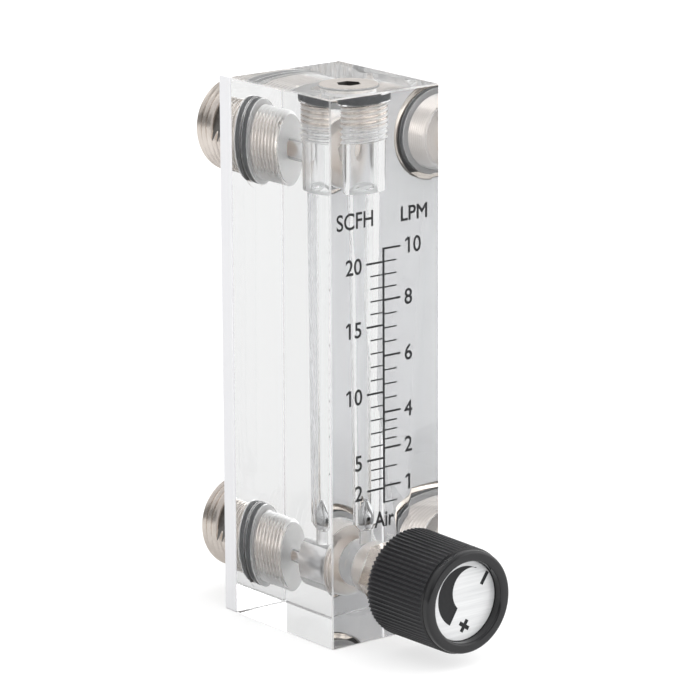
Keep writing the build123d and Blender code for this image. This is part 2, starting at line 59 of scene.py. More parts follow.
# %% Measure the frame
block_low, block_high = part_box("flow_block")
inlet_low, inlet_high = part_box("inlet_fitting")
outlet_low, outlet_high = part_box("outlet_fitting")
front_y = block_low.y
top_z = block_high.z
inlet_z = (inlet_low.z + inlet_high.z) / 2
outlet_z = (outlet_low.z + outlet_high.z) / 2
block_depth = block_high.y - front_y
fitting_end = inlet_high.y - front_y
print("ports at", round(inlet_z / MM, 2), "and", round(outlet_z / MM, 2), "mm")
print("block depth", round(block_depth / MM, 2), "mm, fitting ends at depth", round(fitting_end / MM, 2))


def select_only(*pieces):
    """Select these pieces and nothing else; the first one is active."""
    bpy.ops.object.select_all(action="DESELECT")
    for piece in pieces:
        piece.select_set(True)
    bpy.context.view_layer.objects.active = pieces[0]


# %% [markdown]
# ## Turned shapes
# Most pieces here came off a lathe. On the real machine a tool follows a profile while the bar
# turns. Blender does the same: one vertex is extruded along the profile, and the spin operator
# sweeps that line about an axis. Depth profiles turn about the front-to-back axis of a port, and
# height profiles turn about the metering tube.

# %% Draw a profile and spin it
WELD = 0.0004 * MM


def draw_line(name, points):
    """Draw an open line of edges through the points by extruding one vertex."""
    bpy.ops.object.select_all(action="DESELECT")
    bpy.ops.mesh.primitive_plane_add(size=MM)
    piece = bpy.context.object
    piece.name = piece.data.name = name
    bpy.ops.object.mode_set(mode="EDIT")
    bpy.ops.mesh.select_all(action="SELECT")
    bpy.ops.mesh.merge(type="CENTER")
    bpy.ops.transform.translate(value=points[0])
    for start, end in zip(points, points[1:]):
        step = Vector(end) - Vector(start)
        bpy.ops.mesh.extrude_region_move(TRANSFORM_OT_translate={"value": step})
    bpy.ops.object.mode_set(mode="OBJECT")
    return piece


def weld(piece):
    """Merge doubled points and turn every face outwards."""
    select_only(piece)
    bpy.ops.object.mode_set(mode="EDIT")
    bpy.ops.mesh.select_all(action="SELECT")
    bpy.ops.mesh.remove_doubles(threshold=WELD)
    bpy.ops.mesh.normals_make_consistent(inside=False)
    bpy.ops.object.mode_set(mode="OBJECT")
    return piece


def spin_line(piece, centre, axis, steps):
    """Sweep the drawn line once round the axis."""
    select_only(piece)
    bpy.ops.object.mode_set(mode="EDIT")
    bpy.ops.mesh.select_all(action="SELECT")
    bpy.ops.mesh.spin(steps=steps, angle=2 * pi, center=centre, axis=axis)
    bpy.ops.object.mode_set(mode="OBJECT")
    return weld(piece)


def turn_in_depth(name, profile, height, steps=96):
    """Turn a profile of (depth, radius) in millimetres about a front-to-back axis."""
    points = [(0, front_y + depth * MM, height + radius * MM) for depth, radius in profile]
    return spin_line(draw_line(name, points), (0, 0, height), (0, 1, 0), steps)


def turn_upright(name, profile, steps=96):
    """Turn a profile of (radius, height) in millimetres about the metering tube's axis."""
    points = [(radius * MM, 0, height * MM) for radius, height in profile]
    return spin_line(draw_line(name, points), (0, 0, 0), (0, 0, 1), steps)


print("lathe ready, doubled points merge within", WELD / MM, "mm")

# %% [markdown]
# ## Threads
# A screw thread is one V-shaped ridge wound into a helix. One pitch of the ridge is drawn as a
# line, and the Screw modifier winds it. The raw winding is longer than needed, so two bisect cuts
# trim it to length and close it, which leaves a solid rod that other solids can be cut with.

# %% Wind a thread
# share of a pitch along the thread, and share of the ridge's height
RIDGE = ((0.0, 0.0), (0.13, 0.0), (0.41, 0.9), (0.5, 1.0), (0.59, 0.9), (0.87, 0.0), (1.0, 0.0))


def trim(piece, point, direction):
    """Cut away what lies past a plane, on the side the direction points to, and close the cut."""
    select_only(piece)
    bpy.ops.object.mode_set(mode="EDIT")
    bpy.ops.mesh.select_all(action="SELECT")
    bpy.ops.mesh.bisect(plane_co=point, plane_no=direction, use_fill=True,
                        clear_outer=True, threshold=WELD / 10)
    bpy.ops.object.mode_set(mode="OBJECT")


def wind_thread(name, crest, root, pitch, start, end, axis="Y", steps=72):
    """Wind a solid threaded rod about the Y or Z axis through the origin; sizes in millimetres."""
    along = Vector((0, 1, 0)) if axis == "Y" else Vector((0, 0, 1))
    outward = Vector((0, 0, 1)) if axis == "Y" else Vector((1, 0, 0))
    line = []
    for share, rise in RIDGE:
        place = start - 2 * pitch + share * pitch
        line.append((along * place + outward * (root + (crest - root) * rise)) * MM)
    piece = draw_line(name, line)
    winding = piece.modifiers.new("winding", "SCREW")
    winding.axis = axis
    winding.angle = 2 * pi
    winding.screw_offset = pitch * MM
    winding.iterations = ceil((end - start) / pitch) + 3
    winding.steps = winding.render_steps = steps
    winding.use_smooth_shade = False
    bpy.ops.object.modifier_apply(modifier=winding.name)
    weld(piece)
    trim(piece, along * end * MM, along)
    trim(piece, along * start * MM, -along)
    return weld(piece)


def shift(piece, offset):
    """Move a finished mesh, leaving its object at the origin."""
    select_only(piece)
    bpy.ops.object.mode_set(mode="EDIT")
    bpy.ops.mesh.select_all(action="SELECT")
    bpy.ops.transform.translate(value=offset)
    bpy.ops.object.mode_set(mode="OBJECT")
    return piece


def thread_in_depth(name, crest, root, pitch, start, end, height):
    """A threaded rod along a front-to-back axis, from depth start to depth end."""
    piece = wind_thread(name, crest, root, pitch, start, end)
    return shift(piece, (0, front_y, height))


print("thread ridge has", len(RIDGE), "points")

# %% [markdown]
# ## Cutting and joining solids
# A drill, a tap and a milling cutter all take one solid out of another, which is what a Boolean
# modifier does. The Manifold solver is quick and exact enough here, as long as both solids are
# closed.

# %% Combine two solids
FLAT_ENOUGH = radians(0.5)  # triangles that lie closer than this become one face


def combine(target, tool, operation):
    """Apply a Boolean of tool on target, then throw the tool away."""
    select_only(target)
    boolean = target.modifiers.new("boolean", "BOOLEAN")
    boolean.operation = operation
    boolean.solver = "MANIFOLD"
    boolean.object = tool
    bpy.ops.object.modifier_apply(modifier=boolean.name)
    bpy.data.objects.remove(tool)
    return target


def cut(target, tool):
    return combine(target, tool, "DIFFERENCE")


def fuse(target, tool):
    return combine(target, tool, "UNION")


def keep_inside(target, tool):
    return combine(target, tool, "INTERSECT")


def smooth(piece, degrees=35):
    """Join coplanar triangles to quads, then shade smooth up to an angle between faces."""
    select_only(piece)
    bpy.ops.object.mode_set(mode="EDIT")
    bpy.ops.mesh.select_all(action="SELECT")
    bpy.ops.mesh.tris_convert_to_quads(face_threshold=FLAT_ENOUGH, shape_threshold=pi)
    bpy.ops.object.mode_set(mode="OBJECT")
    bpy.ops.object.shade_smooth_by_angle(angle=radians(degrees))
    return piece


def report(piece):
    size = [round(length / MM, 2) for length in piece.dimensions]
    print(piece.name, len(piece.data.polygons), "faces, size", size, "mm")


print("cut, fuse and keep_inside ready")

# %% [markdown]
# ## The clear block
# The block is sawn from cast acrylic and its faces are polished, with a hair of chamfer on every
# edge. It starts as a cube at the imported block's size. Its edges are bevelled, and then each bore
# is cut as on the real part: the tapered tube from above, the valve bore from the front, the two
# ports from behind. The bores have to be real cavities, because what one sees in the photograph is
# the light that their walls bend and reflect.

# %% Start the block
EDGE_CHAMFER = 0.25


def add_box(name, low, high):
    """A box between two corners, with its place in its mesh."""
    bpy.ops.object.select_all(action="DESELECT")
    low, high = Vector(low), Vector(high)
    bpy.ops.mesh.primitive_cube_add(size=1, location=(low + high) / 2, scale=high - low)
    piece = bpy.context.object
    piece.name = piece.data.name = name
    bpy.ops.object.transform_apply(location=True, rotation=True, scale=True)
    return piece


def chamfer_edges(piece, width):
    select_only(piece)
    bpy.ops.object.mode_set(mode="EDIT")
    bpy.ops.mesh.select_all(action="SELECT")
    bpy.ops.mesh.bevel(offset=width * MM, segments=1, affect="EDGES")
    bpy.ops.object.mode_set(mode="OBJECT")
    return piece


clear_block = chamfer_edges(add_box("clear_block", block_low, block_high), EDGE_CHAMFER)
report(clear_block)

# %% [markdown]
# ### The metering tube
# The tube widens upwards, so a float rides higher in a stronger flow. Below it is the seat cone
# where the float rests, and above it a wider chamber, a tapped length for the plug and a
# counterbore for the plug's seal.

# %% Cut the metering tube
SEAT_BORE_R = 1.5
SEAT_Z = 19.4
TUBE_BOTTOM_R = 2.8
TUBE_TOP_R = 3.4
TUBE_TOP_Z = 83.0
CHAMBER_R = 4.5
CHAMBER_TOP_Z = 92.3
PLUG_THREAD_R = 5.0
PLUG_THREAD_TOP_Z = 99.2
COUNTERBORE_R = 5.5
FINE_PITCH = 1.0
OVERCUT = 1.0

tube_bore = turn_upright("tube_bore", [
    (0, inlet_z / MM),
    (SEAT_BORE_R, inlet_z / MM),
    (SEAT_BORE_R, SEAT_Z),
    (TUBE_BOTTOM_R, SEAT_Z + TUBE_BOTTOM_R - SEAT_BORE_R),
    (TUBE_TOP_R, TUBE_TOP_Z),
    (CHAMBER_R, TUBE_TOP_Z),
    (CHAMBER_R, PLUG_THREAD_TOP_Z),
    (COUNTERBORE_R, PLUG_THREAD_TOP_Z),
    (COUNTERBORE_R, top_z / MM + OVERCUT),
    (0, top_z / MM + OVERCUT),
])
cut(clear_block, tube_bore)
cut(clear_block, wind_thread("plug_tap", PLUG_THREAD_R, CHAMBER_R, FINE_PITCH,
                             CHAMBER_TOP_Z, PLUG_THREAD_TOP_Z, axis="Z"))
report(clear_block)

# %% [markdown]
# ### Valve bore and ports
# The valve bore and the ports are drilled and tapped. The outlet port meets the chamber through a
# cross passage, and the inlet port feeds the valve through the needle's seat.

# %% Cut the valve bore and the ports
VALVE_THREAD_R = 5.0
VALVE_THREAD_END = 7.5
VALVE_BORE_R = 4.5
VALVE_SEAT_DEPTH = 15.0
VALVE_SEAT_R = 1.25
PORT_END = 19.2
PORT_DRILL_R = 6.4
PORT_THREAD_START = 19.4
PORT_THREAD_R = 7.0
PORT_SEAL_START = 27.4
PORT_COUNTERBORE_R = 8.0
PASSAGE_R = 2.0

valve_bore = turn_in_depth("valve_bore", [
    (-OVERCUT, 0),
    (-OVERCUT, VALVE_BORE_R),
    (VALVE_SEAT_DEPTH, VALVE_BORE_R),
    (VALVE_SEAT_DEPTH, VALVE_SEAT_R),
    (PORT_END + OVERCUT, VALVE_SEAT_R),
    (PORT_END + OVERCUT, 0),
], inlet_z)
cut(clear_block, valve_bore)
cut(clear_block, thread_in_depth("valve_tap", VALVE_THREAD_R, VALVE_BORE_R, FINE_PITCH,
                                 -OVERCUT, VALVE_THREAD_END, inlet_z))
for port_name, port_z in (("inlet", inlet_z), ("outlet", outlet_z)):
    port_bore = turn_in_depth(port_name + "_port", [
        (PORT_END, 0),
        (PORT_END, PORT_DRILL_R),
        (PORT_SEAL_START, PORT_DRILL_R),
        (PORT_SEAL_START, PORT_COUNTERBORE_R),
        (block_depth / MM + OVERCUT, PORT_COUNTERBORE_R),
        (block_depth / MM + OVERCUT, 0),
    ], port_z)
    cut(clear_block, port_bore)
    cut(clear_block, thread_in_depth(port_name + "_tap", PORT_THREAD_R, PORT_DRILL_R, FINE_PITCH,
                                     PORT_THREAD_START, PORT_SEAL_START + OVERCUT / 2, port_z))
passage = turn_in_depth("passage", [
    (-front_y / MM, 0),
    (-front_y / MM, PASSAGE_R),
    (PORT_END + OVERCUT, PASSAGE_R),
    (PORT_END + OVERCUT, 0),
], outlet_z)
cut(clear_block, passage)
smooth(clear_block)
report(clear_block)

# %% [markdown]
# ## The port fittings
# Each fitting is turned brass with a warm nickel plate: a fine thread screws into the block, a
# relief holds the seal, and the outer pipe thread takes the hose fitting. Two flats are milled
# across the pipe thread for a spanner.

# %% Make one fitting and copy it
PIPE_THREAD_R = 9.0
PIPE_THREAD_ROOT = 8.1
PIPE_PITCH = 1.5
THREAD_LEAD = 0.7
NECK_R = 6.95
NECK_ROOT = 6.4
NECK_START = 19.45
RELIEF_R = 6.0
FITTING_BORE_R = 4.5
FLATS_ACROSS = 15.2
FLATS_START = 33.1
FLATS_END = 41.0
FLATS_ANGLE = 22.0
OVERLAP = 0.5  # how far two solids reach into each other before they are fused


def turned_envelope(name, start, end, radius, lead_start, lead_end, height):
    """A plain cylinder with a cone at either end, to give a thread its lead."""
    return turn_in_depth(name, [
        (start, 0),
        (start, radius - lead_start),
        (start + lead_start, radius),
        (end - lead_end, radius),
        (end, radius - lead_end),
        (end, 0),
    ], height)


def make_fitting(name, height):
    end = fitting_end / MM
    seal_end = block_depth / MM
    fitting = thread_in_depth(name, PIPE_THREAD_R, PIPE_THREAD_ROOT, PIPE_PITCH, seal_end, end, height)
    keep_inside(fitting, turned_envelope("lead", seal_end, end, PIPE_THREAD_R, 0, THREAD_LEAD, height))
    for side in (-1, 1):
        flat = add_box("flat", (-PIPE_THREAD_R * MM, front_y + FLATS_START * MM, 0),
                       (PIPE_THREAD_R * MM, front_y + FLATS_END * MM, PIPE_THREAD_R * MM))
        select_only(flat)
        bpy.ops.object.mode_set(mode="EDIT")
        bpy.ops.mesh.select_all(action="SELECT")
        bpy.ops.transform.translate(value=(0, 0, FLATS_ACROSS / 2 * MM))
        bpy.ops.object.mode_set(mode="OBJECT")
        flat.data.transform(Matrix.Rotation(radians(FLATS_ANGLE + side * 90), 4, "Y"))
        cut(fitting, shift(flat, (0, 0, height)))
    neck_end = PORT_SEAL_START
    neck = thread_in_depth("neck", NECK_R, NECK_ROOT, FINE_PITCH, NECK_START, neck_end, height)
    keep_inside(neck, turned_envelope("neck_lead", NECK_START, neck_end, NECK_R, THREAD_LEAD, 0, height))
    fuse(fitting, neck)
    relief = turn_in_depth("relief", [
        (neck_end - OVERLAP, 0),
        (neck_end - OVERLAP, RELIEF_R),
        (seal_end + OVERLAP, RELIEF_R),
        (seal_end + OVERLAP, 0),
    ], height)
    fuse(fitting, relief)
    bore = turn_in_depth("bore", [
        (NECK_START - OVERCUT, 0),
        (NECK_START - OVERCUT, FITTING_BORE_R),
        (end - THREAD_LEAD, FITTING_BORE_R),
        (end + OVERCUT, FITTING_BORE_R + THREAD_LEAD + OVERCUT),
        (end + OVERCUT, 0),
    ], height)
    cut(fitting, bore)
    return smooth(fitting)


def copy_piece(piece, name, offset):
    """A copy with its own mesh, moved by an offset."""
    select_only(piece)
    bpy.ops.object.duplicate(linked=False)
    twin = bpy.context.object
    twin.name = twin.data.name = name
    return shift(twin, offset)


lower_fitting = make_fitting("lower_fitting", inlet_z)
upper_fitting = copy_piece(lower_fitting, "upper_fitting", (0, 0, outlet_z - inlet_z))
report(lower_fitting)

# %% [markdown]
# ## Top plug
# The plug closes the tube. It is turned like the fittings, with a broached hexagon socket, and it
# sits flush with the top face over its own seal.

# %% Make the plug
PLUG_HEAD_R = 5.45
PLUG_HEAD_Z = 101.0
PLUG_END_Z = 94.8
PLUG_CREST = 4.95
PLUG_ROOT = 4.4
PLUG_NECK_R = 3.7
KEY_FLATS = 4.0
KEY_DEPTH = 3.6
HEAD_BREAK = 0.15

top_plug = wind_thread("plug", PLUG_CREST, PLUG_ROOT, FINE_PITCH,
                       PLUG_END_Z, PLUG_THREAD_TOP_Z, axis="Z")
plug_lead = turn_upright("plug_lead", [
    (0, PLUG_END_Z),
    (PLUG_CREST - THREAD_LEAD, PLUG_END_Z),
    (PLUG_CREST, PLUG_END_Z + THREAD_LEAD),
    (PLUG_CREST, PLUG_THREAD_TOP_Z),
    (0, PLUG_THREAD_TOP_Z),
])
keep_inside(top_plug, plug_lead)
plug_head = turn_upright("plug_head", [
    (0, PLUG_THREAD_TOP_Z - OVERLAP),
    (PLUG_NECK_R, PLUG_THREAD_TOP_Z - OVERLAP),
    (PLUG_NECK_R, PLUG_HEAD_Z),
    (PLUG_HEAD_R, PLUG_HEAD_Z),
    (PLUG_HEAD_R, top_z / MM - HEAD_BREAK),
    (PLUG_HEAD_R - HEAD_BREAK, top_z / MM),
    (0, top_z / MM),
])
fuse(top_plug, plug_head)
bpy.ops.object.select_all(action="DESELECT")
bpy.ops.mesh.primitive_cylinder_add(vertices=6, radius=KEY_FLATS / 2 / cos(pi / 6) * MM,
                                    depth=2 * KEY_DEPTH * MM, location=(0, 0, top_z))
socket_tool = bpy.context.object
socket_place = Matrix.Translation(socket_tool.location) @ Matrix.Rotation(pi / 6, 4, "Z")
socket_tool.data.transform(socket_place)
socket_tool.location = (0, 0, 0)
cut(top_plug, socket_tool)
smooth(top_plug)
report(top_plug)

# %% [markdown]
# ## Seals
# The rubber rings are squeezed a little between the metal and the acrylic, so their section is a
# circle with flattened sides.

# %% Make the seals
SEAL_POINTS = 32
SEAL_SQUARENESS = 0.42  # 1 is a circle, less has flatter sides
SEAL_PRESS = 0.03  # how far the rubber is pressed into the walls


def seal_section(centre_along, centre_r, gap, press_along):
    """Closed section of a ring squeezed in a square gap, as (along, radius) points."""
    across = gap / 2 + SEAL_PRESS
    along = gap / 2 + press_along
    section = []
    for index in range(SEAL_POINTS):
        angle = 2 * pi * index / SEAL_POINTS
        c, s = cos(angle), sin(angle)
        section.append((centre_along + along * copysign(abs(c) ** SEAL_SQUARENESS, c),
                        centre_r + across * copysign(abs(s) ** SEAL_SQUARENESS, s)))
    return section + section[:1]


port_gap = PORT_COUNTERBORE_R - RELIEF_R
plug_gap = PLUG_HEAD_Z - PLUG_THREAD_TOP_Z
port_seal = seal_section(PORT_SEAL_START + port_gap / 2, RELIEF_R + port_gap / 2,
                         port_gap, -SEAL_PRESS)
lower_seal = smooth(turn_in_depth("lower_seal", port_seal, inlet_z), 180)
upper_seal = copy_piece(lower_seal, "upper_seal", (0, 0, outlet_z - inlet_z))
plug_section = seal_section(PLUG_HEAD_Z - plug_gap / 2, PLUG_NECK_R + plug_gap / 2,
                            plug_gap, SEAL_PRESS)
plug_seal = smooth(turn_upright("plug_seal", [(r, z) for z, r in plug_section]), 180)
report(lower_seal)
report(plug_seal)

# %% [markdown]
# ## Float
# The float is a polished steel drop: a ball below that seats in the cone, and a tapering tip
# above that steadies it in the flow.

# %% Make the float
float_low, float_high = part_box("metering_float")
FLOAT_R = (float_high.x - float_low.x) / 2 / MM
FLOAT_TIP_R = 1.3
ARC_STEPS = 14
TIP_STEPS = 7

ball_z = float_low.z / MM + FLOAT_R
tip_z = float_high.z / MM - FLOAT_TIP_R
lean = asin((FLOAT_R - FLOAT_TIP_R) / (tip_z - ball_z))
float_profile = []
for index in range(ARC_STEPS + 1):
    angle = -pi / 2 + (pi / 2 + lean) * index / ARC_STEPS
    float_profile.append((FLOAT_R * cos(angle), ball_z + FLOAT_R * sin(angle)))
for index in range(TIP_STEPS + 1):
    angle = lean + (pi / 2 - lean) * index / TIP_STEPS
    float_profile.append((FLOAT_TIP_R * cos(angle), tip_z + FLOAT_TIP_R * sin(angle)))
float_profile[0] = (0, float_low.z / MM)
float_profile[-1] = (0, float_high.z / MM)
steel_float = smooth(turn_upright("steel_float", float_profile, steps=64), 180)
report(steel_float)

# %% [markdown]
# ## Valve bush
# A hexagon bush holds the stem. Its thread shows through the acrylic, and a sliver of the hexagon
# shows behind the knob.

# %% Make the valve bush
HEX_FLATS = 12.0
HEX_TURN = 5.0
HEX_FRONT = -4.8
HEX_BACK = -0.4
HEX_BREAK = 0.5
BARREL_CREST = 4.95
BARREL_ROOT = 4.4
STEM_BORE_R = 2.5
STEM_THREAD_BORE_R = 2.05
STEM_SHOULDER = 2.05
BARREL_START = HEX_BACK - OVERLAP
BARREL_END = VALVE_THREAD_END - 0.05  # stops short of the end of the tapped hole

hex_corner_r = HEX_FLATS / 2 / cos(pi / 6)
bpy.ops.object.select_all(action="DESELECT")
bpy.ops.mesh.primitive_cylinder_add(vertices=6, radius=hex_corner_r * MM,
                                    depth=(HEX_BACK - HEX_FRONT) * MM)
valve_bush = bpy.context.object
valve_bush.name = valve_bush.data.name = "valve_bush"
lay_down = Matrix.Rotation(pi / 2, 4, "X")
valve_bush.data.transform(Matrix.Rotation(pi / 2 - radians(HEX_TURN), 4, "Y") @ lay_down)
shift(valve_bush, (0, front_y + (HEX_BACK + HEX_FRONT) / 2 * MM, inlet_z))
hex_slope = (hex_corner_r - HEX_FLATS / 2 + HEX_BREAK) * tan(radians(30))
hex_envelope = turn_in_depth("hex_envelope", [
    (HEX_FRONT, 0),
    (HEX_FRONT, HEX_FLATS / 2 - HEX_BREAK),
    (HEX_FRONT + hex_slope, hex_corner_r),
    (HEX_BACK, hex_corner_r),
    (HEX_BACK, 0),
], inlet_z)
keep_inside(valve_bush, hex_envelope)
barrel = thread_in_depth("barrel", BARREL_CREST, BARREL_ROOT, FINE_PITCH,
                         BARREL_START, BARREL_END, inlet_z)
keep_inside(barrel, turned_envelope("barrel_lead", BARREL_START, BARREL_END,
                                    BARREL_CREST, 0, HEX_BREAK, inlet_z))
fuse(valve_bush, barrel)
stem_bore = turn_in_depth("stem_bore", [
    (HEX_FRONT - OVERCUT, 0),
    (HEX_FRONT - OVERCUT, STEM_BORE_R),
    (STEM_SHOULDER, STEM_BORE_R),
    (STEM_SHOULDER, STEM_THREAD_BORE_R),
    (VALVE_THREAD_END + OVERCUT, STEM_THREAD_BORE_R),
    (VALVE_THREAD_END + OVERCUT, 0),
], inlet_z)
cut(valve_bush, stem_bore)
smooth(valve_bush)
report(valve_bush)

# %% [markdown]
# ## Knob
# The knob is moulded in black plastic. Seventy-two grooves run along it and stop at a smooth band
# near the front, and the rim stands round a deep recess that holds the foil label. The body is
# turned, and one groove cutter is copied round it.

# %% Make the knob
knob_low, knob_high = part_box("knob")
KNOB_REAR = (knob_high.y - front_y) / MM
KNOB_FRONT = (knob_low.y - front_y) / MM
KNOB_R = 10.0
RIB_COUNT = 72
RIB_END = KNOB_FRONT + 1.7
RIB_FRONT_R = 9.83
GROOVE_R = 0.38
GROOVE_STRETCH = 1.6  # depth of a groove against half its width
BAND_R = 9.52
BAND_DRAFT = 0.03  # the smooth band widens this much towards the ribs
RIB_SLOPE = 0.15  # length of the step from the band up to the ribs
REAR_CHAMFER = 0.3
SHELL_CHAMFER = 0.2
RIM_ROUND = 0.55
RECESS_R = 7.55
RECESS_FLOOR = KNOB_FRONT + 2.0
SHELL_R = 8.15
WEB_BACK = RECESS_FLOOR + 2.0
HUB_R = 5.2
HUB_END = KNOB_REAR - 1.2
INSERT_R = 3.6
SCREW_WELL_R = 2.6
SCREW_WELL_END = RECESS_FLOOR + 4.0


def quarter(centre_depth, centre_r, radius, start, steps=5):
    """Points of a quarter round, from an angle that is counted from the front towards outside."""
    points = []
    for index in range(steps + 1):
        angle = start + pi / 2 * index / steps
        points.append((centre_depth - radius * cos(angle), centre_r + radius * sin(angle)))
    return points


rim_outside = quarter(KNOB_FRONT + RIM_ROUND, BAND_R - RIM_ROUND, RIM_ROUND, 0)
rim_inside = quarter(KNOB_FRONT + RIM_ROUND, RECESS_R + RIM_ROUND, RIM_ROUND, -pi / 2)
knob_profile = [
    (RECESS_FLOOR, SCREW_WELL_R),
    (RECESS_FLOOR, RECESS_R),
    *rim_inside,
    *rim_outside,
    (RIB_END - RIB_SLOPE, BAND_R + BAND_DRAFT),
    (RIB_END, RIB_FRONT_R),
    (KNOB_REAR - REAR_CHAMFER, KNOB_R),
    (KNOB_REAR, KNOB_R - REAR_CHAMFER),
    (KNOB_REAR, SHELL_R + SHELL_CHAMFER),
    (KNOB_REAR - SHELL_CHAMFER, SHELL_R),
    (WEB_BACK, SHELL_R),
    (WEB_BACK, HUB_R),
    (HUB_END, HUB_R),
    (HUB_END, INSERT_R),
    (SCREW_WELL_END, INSERT_R),
    (SCREW_WELL_END, SCREW_WELL_R),
    (RECESS_FLOOR, SCREW_WELL_R),
]
knob_body = turn_in_depth("knob_body", knob_profile, inlet_z, steps=144)
bpy.ops.object.select_all(action="DESELECT")
groove_length = KNOB_REAR - RIB_END + OVERCUT
bpy.ops.mesh.primitive_cylinder_add(vertices=10, radius=GROOVE_R * MM, depth=groove_length * MM)
groove = bpy.context.object
groove.data.transform(Matrix.Diagonal((1, 1, GROOVE_STRETCH, 1)) @ lay_down)
shift(groove, (0, front_y + (RIB_END + groove_length / 2) * MM, KNOB_R * MM))
grooves = [groove]
for index in range(1, RIB_COUNT):
    twin = copy_piece(groove, f"groove_{index}", (0, 0, 0))
    twin.data.transform(Matrix.Rotation(2 * pi * index / RIB_COUNT, 4, "Y"))
    grooves.append(twin)
select_only(*grooves)
bpy.ops.object.join()
grooves = bpy.context.object
shift(grooves, (0, 0, inlet_z))
cut(knob_body, grooves)
smooth(knob_body, 40)
report(knob_body)

# %% [markdown]
# ## Foil label
# The label is a thin disc with rolled edges, printed with a crescent that widens towards open and
# with plus and minus signs. The print lies on the foil as its own thin layer of ink.

# %% Make the label
LABEL_R = 7.5
LABEL_BACK = RECESS_FLOOR
LABEL_THICKNESS = 0.2
LABEL_FRONT = LABEL_BACK - LABEL_THICKNESS
EDGE_ROLL = 0.12
foil_label = turn_in_depth("foil_label", [
    (LABEL_BACK, 0),
    (LABEL_BACK, LABEL_R),
    (LABEL_FRONT + EDGE_ROLL, LABEL_R),
    (LABEL_FRONT, LABEL_R - EDGE_ROLL),
    (LABEL_FRONT, 0),
], inlet_z, steps=96)
smooth(foil_label)
report(foil_label)

# %% [markdown]
# The crescent lies between two arcs whose centres are apart, so it is drawn as one outline, filled
# and given the ink's thickness. Plus and minus are outlines of straight bars.

# %% Print the label
INK = 0.03
CRESCENT_OUTSIDE = ((0, 0.7), 5.7, 57, 238)  # centre, radius, first and last angle
CRESCENT_INSIDE = ((1.85, 1.65), 4.2, 223, 72)
MINUS_PLACE = (5.0, 3.3)
MINUS_LENGTH = 2.6
PLUS_PLACE = (0.3, -4.8)
PLUS_LENGTH = 2.5
SIGN_WIDTH = 0.75
SIGN_ANGLE = 56


def ink_outline(name, points, depth):
    """Fill a closed outline of (x, z) points in millimetres, as ink that stands in front of a depth."""
    y = front_y + depth * MM
    loop = [(x * MM, y, inlet_z + z * MM) for x, z in points]
    piece = draw_line(name, loop + loop[:1])
    weld(piece)
    bpy.ops.object.mode_set(mode="EDIT")
    bpy.ops.mesh.select_all(action="SELECT")
    bpy.ops.mesh.edge_face_add()
    bpy.ops.mesh.extrude_region_move(TRANSFORM_OT_translate={"value": (0, -INK * MM, 0)})
    bpy.ops.mesh.select_all(action="SELECT")
    bpy.ops.mesh.normals_make_consistent(inside=False)
    bpy.ops.object.mode_set(mode="OBJECT")
    return piece


def arc_points(centre, radius, start, end, steps=40):
    """Points along an arc, from one angle to another in degrees."""
    points = []
    for index in range(steps + 1):
        angle = radians(start + (end - start) * index / steps)
        points.append((centre[0] + radius * cos(angle), centre[1] + radius * sin(angle)))
    return points


def bar_points(centre, length, degrees):
    """Corners of a straight bar that is turned in the label's plane."""
    turn = Matrix.Rotation(radians(degrees), 2)
    corners = ((-1, -1), (1, -1), (1, 1), (-1, 1))
    return [tuple(Vector(centre) + turn @ Vector((a * length / 2, b * SIGN_WIDTH / 2))) for a, b in corners]


crescent = arc_points(*CRESCENT_OUTSIDE) + arc_points(*CRESCENT_INSIDE)
ink_crescent = ink_outline("ink_crescent", crescent, LABEL_FRONT)
ink_minus = ink_outline("ink_minus", bar_points(MINUS_PLACE, MINUS_LENGTH, SIGN_ANGLE), LABEL_FRONT)
ink_plus = ink_outline("ink_plus", bar_points(PLUS_PLACE, PLUS_LENGTH, SIGN_ANGLE), LABEL_FRONT)
fuse(ink_plus, ink_outline("ink_cross", bar_points(PLUS_PLACE, PLUS_LENGTH, SIGN_ANGLE + 90), LABEL_FRONT))
report(ink_crescent)

# %% [markdown]
# ## Figures and unit words
# The scale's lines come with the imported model. The figures and unit words are text objects, made
# a mesh and then laid on the front face as ink.

# %% Print the figures
FIGURE_HEIGHT = 3.0
CAP_HEIGHT = 0.729  # height of a capital in the built-in typeface, for a size of 1
RIGHT_FIGURES = ((1, 29.05), (2, 36.2), (4, 42.95), (6, 53.5), (8, 63.9), (10, 73.4))
RIGHT_X = 4.3
LEFT_FIGURES = ((2, 28.7), (5, 34.4), (10, 46.8), (15, 59.3), (20, 71.0))
LEFT_X = -5.4
FLAG_ROOM = 0.15  # a one on the right starts this much later, to leave room for its slanted stroke


def print_text(name, words, x, z, height, align="CENTER", squeeze=0.92, weight=0.06):
    """Lay a word on the front face with its middle height at z; sizes in millimetres."""
    bpy.ops.object.select_all(action="DESELECT")
    bpy.ops.object.text_add()
    piece = bpy.context.object
    piece.name = piece.data.name = name
    piece.data.body = words
    piece.data.align_x = align
    piece.data.size = height / CAP_HEIGHT * MM
    piece.data.bevel_depth = weight * MM
    piece.data.bevel_resolution = 0
    bpy.ops.object.convert(target="MESH")
    place = Matrix.Translation((x * MM, front_y - INK / 2 * MM, (z - height / 2) * MM))
    flatten = Matrix.Diagonal((squeeze, 1, INK / 2 / weight, 1))
    piece.data.transform(place @ lay_down @ flatten)
    return piece


def add_flag(piece, z, height):
    """Give a figure that starts with a one the slanted stroke at its top."""
    stem = min(vertex.co.x for vertex in piece.data.vertices) / MM
    top = z + height / 2 + 0.06
    near, far = stem + 0.1, stem - 0.62
    outline = [(near, top), (near, top - 0.62), (far, top - 1.0), (far, top - 0.58)]
    flag = ink_outline("flag", [(x, z - inlet_z / MM) for x, z in outline], 0)
    select_only(piece, flag)
    bpy.ops.object.join()


